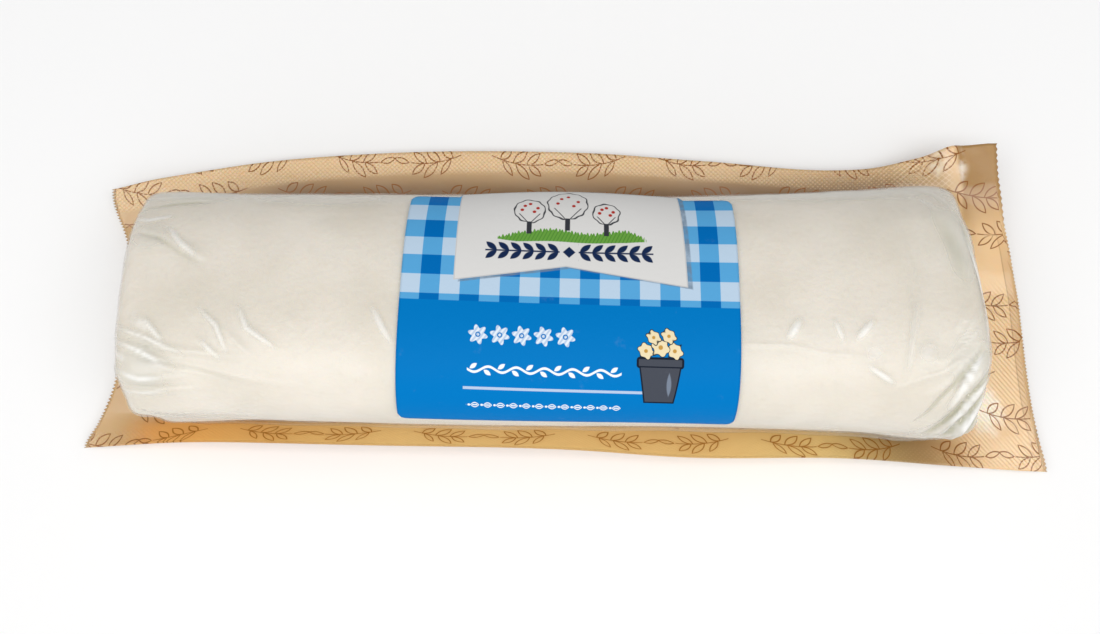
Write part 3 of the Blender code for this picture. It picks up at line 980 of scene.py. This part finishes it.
def label_finish():
    """The printed label: gingham over plain blue, a white banner, and simple motifs."""
    material, tree, shader = new_material("printed_label")
    p, q = surface_millimetres(tree, LABEL_UV, (50, 20))
    point = object_point(tree)
    fibre = noise(tree, point, 700)
    colour = painted(tree, gingham(tree, p, q), [((-q + 25.5).inside(), FIELD_BLUE)])

    banner = banner_distance(p, q)
    shadow = banner_distance(p - 0.9, q - 0.35)
    strip = shadow.inside(0.15) * (fibre.eased(0.25, 0.7) * 0.5 + 0.5)
    colour = painted(tree, colour, [
        (strip * 0.85, srgb(112, 130, 150)),
        (banner.inside(0.06), BANNER_WHITE),
        (outline(banner + 0.12, 0.16).inside() * 0.4, srgb(150, 152, 158)),
    ])

    rolling = (p * 0.42).sine() * 0.45
    blades = abs((p * 5.2).sine()) * 0.5 + abs((p * 3.1 + 1).sine()) * 0.4
    thinner = (abs(p - 0.2) - 10.5).at_least(0) * 0.36
    ground = (-q + 10.9 - blades + rolling + thinner).at_least(q - 12.7 - rolling * 0.3 + thinner * 0.3)
    ground = ground.at_least(abs(p - 0.2) - 14.8 + blades)
    grassy = ground.inside(0.1)
    colour = painted(tree, colour, [
        (grassy, GREEN), (grassy * (p * 9 + q * 4).sine().eased(0.1, 0.9) * 0.5, srgb(60, 118, 44)),
    ])
    for place, top, size in ((-8.0, 5.4, 3.0), (-0.6, 3.6, 3.9), (6.9, 5.9, 2.6)):
        lines, fruits = tree_marks(p, q, place, top, size)
        colour = painted(tree, colour, [
            (lines.inside(), INK_DARK), (fruits.inside(), srgb(176, 52, 44)),
        ])

    # The rows of the print, measured from the label's rear
    garland_row, daisy_row, vine_row, rule_row, stitch_row = 14.9, 31.8, 38.1, 41.6, 45.1
    side, over = abs(p + 0.2), q - garland_row
    local = (side - 1.9).wrapped(0, 2.35)
    garland = abs(over) - 0.17
    for angle in (-40, 40):
        a, b = turned(local - 0.1, over, angle)
        garland = garland.at_most(leaf(a - 1.4, b, 1.4, 0.6))
    garland = garland.at_least(abs(side - 8.9) - 7.1).at_most((side + abs(over)) * 0.7 - 0.85)
    colour = painted(tree, colour, [(garland.inside(), INK_NAVY)])

    a, b = (p + 18.8).wrapped(0, 4.05) - 2.02, q - daisy_row
    petals = (a.math("ARCTAN2", b) * 6).sine() * 0.36 + 1.5
    daisies = (length_of(a, b) - petals).at_least(-disc(a, b, 0.5)).at_most(disc(a, b, 0.26))
    daisies = daisies.at_least(abs(p + 8.7) - 10.1)
    hatch = (p * 7 + q * 5 + noise(tree, point, 220) * 4).sine().eased(-0.6, 0.5)
    daisies = daisies.inside() * (hatch * 0.35 + 0.65)
    colour = painted(tree, colour, [(daisies, srgb(226, 236, 246))])

    cell = (p + 18.6) / 2.6
    flip = (cell.math("FLOOR").wrapped(0, 2) - 0.5) * 2
    a, b = turned(cell.wrapped(0, 1) * 2.6 - 0.5, (q - vine_row) * flip - 0.1, 36)
    vine = abs(q - vine_row - ((cell * pi).sine() * 0.5)) - 0.22
    vine = vine.at_most(leaf(a - 0.8, b, 0.8, 0.38)).at_least(abs(p + 4.35) - 14.25)
    rule = box(p + 2.3, q - rule_row, 17, 0.24)
    a = (p + 18.7).wrapped(0, 2.4) - 1.2
    b = q - stitch_row
    eyelet = outline(leaf(a - 0.35, b, 0.75, 0.5), 0.16)
    stitches = joined(box(a - 0.35, b, 0.5, 0.12, 0.1), disc(a + 0.75, b, 0.24), eyelet)
    stitches = stitches.at_least(abs(p + 4.35) - 14.4)
    colour = painted(tree, colour, [(joined(vine, rule, stitches).inside(0.07), srgb(246, 250, 252))])

    colour = pot_of_flowers(tree, colour, p - 17.0, q - 37.6)
    scuffs = noise(tree, point, 240, detail=4, roughness=0.7).eased(0.62, 0.8) * 0.03
    colour = mix_colours(tree, scuffs, colour, srgb(235, 238, 240))
    fill(
        tree, shader, base_color=colour, roughness=fibre * 0.15 + 0.42, specular_ior_level=0.03,
        normal=bumped(tree, fibre, 0.00004),
    )
    return material


def pot_of_flowers(tree, colour, a, b):
    """A dark pot with a bunch of cream flowers, in strong outline."""
    taper = abs(a) + b * 0.16
    pot = (taper - 3.5).at_least(abs(b - 2.2) - 3.6)
    rim = box(a, b + 1.6, 4.1, 0.75, 0.3)
    body = pot.at_most(rim)
    colour = painted(tree, colour, [
        ((body - 0.28).inside(), POT_INK),
        (body.inside(), srgb(72, 76, 86)),
        (leaf(b - 2.4, a - 1.7, 2.2, 0.42).inside(0.1) * 0.8, srgb(128, 140, 158)),
        (outline(rim, 0.24).inside(0.07), POT_INK),
    ])
    for place_p, place_q, radius in (
        (-2.7, -3.7, 1.25), (2.6, -3.8, 1.3), (0.0, -4.4, 1.5), (-1.3, -6.2, 1.1), (1.5, -6.5, 1.15),
    ):
        c, d = a - place_p, b - place_q
        petals = length_of(c, d) - radius + ((c * 3.4).sine() * (d * 3.4).sine()) * 0.32
        colour = painted(tree, colour, [
            ((petals - 0.2).inside(), POT_INK),
            (petals.inside(), CREAM),
            (disc(c, d, radius * 0.28).inside(), srgb(196, 150, 72)),
        ])
    return colour


# Pieces


def cheese_relief(x, v):
    """The cheese fills the deep folds more than the fine wrinkles."""
    lift = wrinkle_relief(x, v)
    return lift * between(0.25, 0.8, smooth_step(np.abs(lift), 0.25 * MM, 0.7 * MM)) - CHEESE_INSET


def make_log(slack):
    filling = shaped_log(cheese_relief, CHEESE_RINGS, CHEESE_SIDES)
    cheese = finish_piece("cheese_log", filling, cheese_finish())
    clear = clear_film_finish(slack)
    skin = shaped_log(wrinkle_relief, FILM_RINGS, FILM_SIDES, marked=True)
    film = finish_piece("clear_film", skin, clear)
    make_skirt(clear)
    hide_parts("wrapped_log")
    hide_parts("wrapped_log")


def foot_line():
    """A closed line round the log at the level where the clear film leaves it for the backing film."""
    along = np.concatenate([
        np.linspace(0.046, 0.22, 90), np.linspace(0.22, 0.78, 120)[1:-1], np.linspace(0.78, 0.954, 90),
    ])
    sides = []
    for lowest, highest in ((-pi / 2, 0), (3 * pi / 2, pi)):
        low, high = np.full(len(along), lowest), np.full(len(along), highest)
        for _ in range(24):
            middle = (low + high) / 2
            below = log_point(along, middle)[:, 2] < SKIRT_LEVEL
            low, high = np.where(below, middle, low), np.where(below, high, middle)
        sides.append(log_point(along, low, CHEESE_INSET))
    rear, front = sides
    return np.concatenate([front, rear[::-1]])


def make_skirt(finish):
    """The clear film from the log's foot down to the seam, fuller at the front corner of the right end."""
    line = foot_line()
    tangent = (np.roll(line, -1, axis=0) - np.roll(line, 1, axis=0))[:, :2]
    tangent /= np.linalg.norm(tangent, axis=1)[:, None]
    outward = np.stack([tangent[:, 1], -tangent[:, 0]], -1)
    near_pouch = bell(np.hypot(line[:, 0] - POUCH[0], line[:, 1] - POUCH[1]), POUCH_SIZE)
    outward = between(outward, np.array(POUCH_TOWARD), near_pouch[:, None])
    turns = np.arange(len(line)) * 2 * pi / len(line)
    spread = SKIRT_SPREAD + POUCH_SPREAD * near_pouch + SKIRT_PLEAT * np.sin(turns * SKIRT_PLEATS)
    foot = line[:, :2] + outward * spread[:, None]
    level = film_height(foot[:, 0], foot[:, 1]) + FILM_THICKNESS + SKIRT_CLEARANCE
    end = np.column_stack([foot, np.minimum(level, line[:, 2] - 0.5 * MM)])
    bend = np.column_stack([line[:, :2] + outward * spread[:, None] * 0.3, end[:, 2]])
    bm, column, row = grid_mesh(len(line), SKIRT_ROWS)
    column %= len(line)
    line, bend, end, near_pouch = (part[column] for part in (line, bend, end, near_pouch))
    share = 1 - row[:, None] / SKIRT_ROWS
    move_verts(bm, line * (1 - share) ** 2 + bend * 2 * share * (1 - share) + end * share**2)
    mark_verts(bm, slack=0.2 * near_pouch, pocket=0.1 * near_pouch)
    bmesh.ops.remove_doubles(bm, verts=bm.verts[:], dist=0.001 * MM)
    bmesh.ops.recalc_face_normals(bm, faces=bm.faces[:])
    thicken(finish_piece("film_skirt", bm, finish), SKIRT_THICKNESS)


def add_map(bm, places):
    """Gives each corner of the mesh its vertex's place on the map."""
    layer = bm.loops.layers.uv.new("UVMap")
    for face in bm.faces:
        for loop in face.loops:
            loop[layer].uv = places[loop.vert.index]


def film_relief(x, y):
    """Small creases of the backing film."""
    lift = 0.25 * MM * bell(x - RIGHT_EDGE(y) + 2.2 * MM, 0.35 * MM)
    ripple = np.sin(x / (5.2 * MM) + np.sin(y / (4 * MM))) * np.sin(y / (3.7 * MM))
    outside = smooth_step(np.abs(y - AXIS_Y(x)), 22 * MM, 27 * MM)
    pulled = bell(x - PLEAT_X, 7 * MM) * smooth_step(y, 20 * MM, 26 * MM)
    gathers = np.sin((x - PLEAT_X) / (1.5 * MM) + (y - 26 * MM) / (4 * MM))
    return lift + 0.12 * MM * ripple * outside + 0.35 * MM * pulled * (gathers + 1)


def make_backing(sprig):
    """The sheet's rows are spread over its five bands. Both cut ends are toothed."""
    bands = [band + step / rows for band, rows in enumerate(FILM_ROWS) for step in range(rows)]
    bands = np.array(bands + [len(FILM_ROWS)])
    rows = len(bands) - 1
    bm, column, row = grid_mesh(FILM_COLUMNS, rows)
    x, y = film_place(column / FILM_COLUMNS, bands[row])
    tooth = np.where(row % 2 == 1, TOOTH_DEPTH, 0)
    x = x + np.where(column == 0, tooth, 0) - np.where(column == FILM_COLUMNS, tooth * 0.5, 0)
    z = np.maximum(film_height(x, y) + film_relief(x, y), 0)
    places = np.stack([x, y, z], -1)
    move_verts(bm, places)

    grid = np.zeros((rows + 1, FILM_COLUMNS + 1, 3))
    grid[row, column] = places
    steps = np.linalg.norm(np.diff(grid, axis=0), axis=2)
    across = np.concatenate([np.zeros((1, FILM_COLUMNS + 1)), np.cumsum(steps, axis=0)])
    across -= across[rows // 2]
    add_map(bm, np.stack([x / UV_SPAN + 0.5, across[row, column] / UV_SPAN + 0.5], -1))

    rear = 1 - smooth_step(REAR_EDGE(x) - y, 4.0 * MM, 5.4 * MM)
    front = 1 - smooth_step(y - FRONT_EDGE(x), 3.0 * MM, 4.0 * MM)
    seal = np.maximum(rear * smooth_step(x, 84 * MM, 78 * MM), 0.35 * front)
    ribs = smooth_step(x, 84 * MM, 88 * MM) * smooth_step(-y, -8 * MM, 2 * MM)
    mark_verts(bm, seal=seal, to_end=(RIGHT_EDGE(y) - x) / (100 * MM), ribs=ribs)
    film = finish_piece("backing_sheet", bm, backing_finish(sprig))
    thicken(film, FILM_THICKNESS)
    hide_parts("backing_film")


def make_label():
    """The sheet of the label laid round the log, its rear edge running out to the tab."""
    half = LABEL_WIDTH / 2
    columns = np.linspace(-half, half, LABEL_COLUMNS + 1)
    for edge in (TAB_LEFT, TAB_RIGHT):
        columns[np.argmin(np.abs(columns - edge))] = edge
    bm, column, row = grid_mesh(LABEL_COLUMNS, LABEL_ROWS)
    p = columns[column]
    corner = np.maximum(LABEL_CORNER - (half - np.abs(p)), 0)
    cut = LABEL_CORNER - np.sqrt(LABEL_CORNER**2 - corner**2)
    tab = np.where((p >= TAB_LEFT) & (p <= TAB_RIGHT), TAB_REACH, 0)
    q = between(cut - tab, LABEL_HEIGHT - cut, 1 - row / LABEL_ROWS)
    turn = radians(LABEL_TURN)
    arc = q - LABEL_TOP + p * sin(turn)
    x = LABEL_X + p - arc * sin(turn)
    body = (x - LEFT_END - DOME_DEPTH) / (RIGHT_END - LEFT_END - 2 * DOME_DEPTH)
    along = between(DOME_SHARE, 1 - DOME_SHARE, body)
    tab_share = np.clip((p - TAB_LEFT) / (TAB_RIGHT - TAB_LEFT), 0, 1)
    lift = TAB_LIFT * np.sin(pi * tab_share) * (1 - smooth_step(q, 0, TAB_LIFT_RUN))
    places = log_point(along, np.interp(arc, ARCS, ARC_ANGLES), LABEL_GAP + lift)
    places[:, 0] = x
    move_verts(bm, places)
    add_map(bm, np.stack([p / LABEL_UV + 0.5, q / LABEL_UV + 0.2], -1))
    label = finish_piece("gingham_label", bm, label_finish())
    thicken(label, LABEL_THICKNESS)
    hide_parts("label")


# The room


def make_floor():
    material, tree, shader = new_material("white_card")
    shade = noise(tree, object_point(tree), 3, detail=1)
    card = mix_colours(tree, shade, (0.96, 0.96, 0.96), (0.94, 0.94, 0.94))
    fill(tree, shader, base_color=card, roughness=0.95)
    bm = bmesh.new()
    bmesh.ops.create_grid(bm, x_segments=1, y_segments=1, size=1.5)
    shown_mesh("floor", bm, material)


def make_light(name, place, aim, size, power):
    data = bpy.data.lights.new(name, "AREA")
    data.shape = "RECTANGLE"
    data.size, data.size_y = size
    data.energy = power
    light = new_object(name, data)
    light.location = place
    light.rotation_euler = (Vector(aim) - Vector(place)).to_track_quat("-Z", "Y").to_euler()


def make_camera():
    """The photograph's view: from 80 degrees above the horizon, close over the pack."""
    elevation, distance = radians(80), 209 * MM
    target = Vector((-3.25 * MM, -5.1 * MM, 18.4 * MM))
    data = bpy.data.cameras.new("camera")
    data.sensor_width = 36
    data.lens = 33.06
    data.clip_start = 0.01
    camera = new_object("camera", data)
    back = Vector((0, -cos(elevation), sin(elevation)))
    camera.location = target + back * distance
    camera.rotation_euler = (-back).to_track_quat("-Z", "Y").to_euler()
    bpy.context.scene.camera = camera


def make_world():
    """A white studio, a little darker behind the pack."""
    world = bpy.data.worlds.new("studio")
    world.use_nodes = True
    tree = world.node_tree
    toward = split(tree, tree.nodes.new("ShaderNodeTexCoord").outputs["Generated"])[1]
    fill(tree, tree.nodes["Background"], color=(1, 1, 1), strength=toward * -0.26 + 0.45)
    bpy.context.scene.world = world
    bpy.context.scene.view_settings.view_transform = "Standard"


film_slack = film_emboss_group()
make_camera()
make_world()
make_floor()
make_light("overhead_softbox", (0, -0.15, 0.70), (0, 0, 0.02), (1.3, 0.46), 4.7)
make_log(film_slack)
make_backing(sprig_group())
make_label()
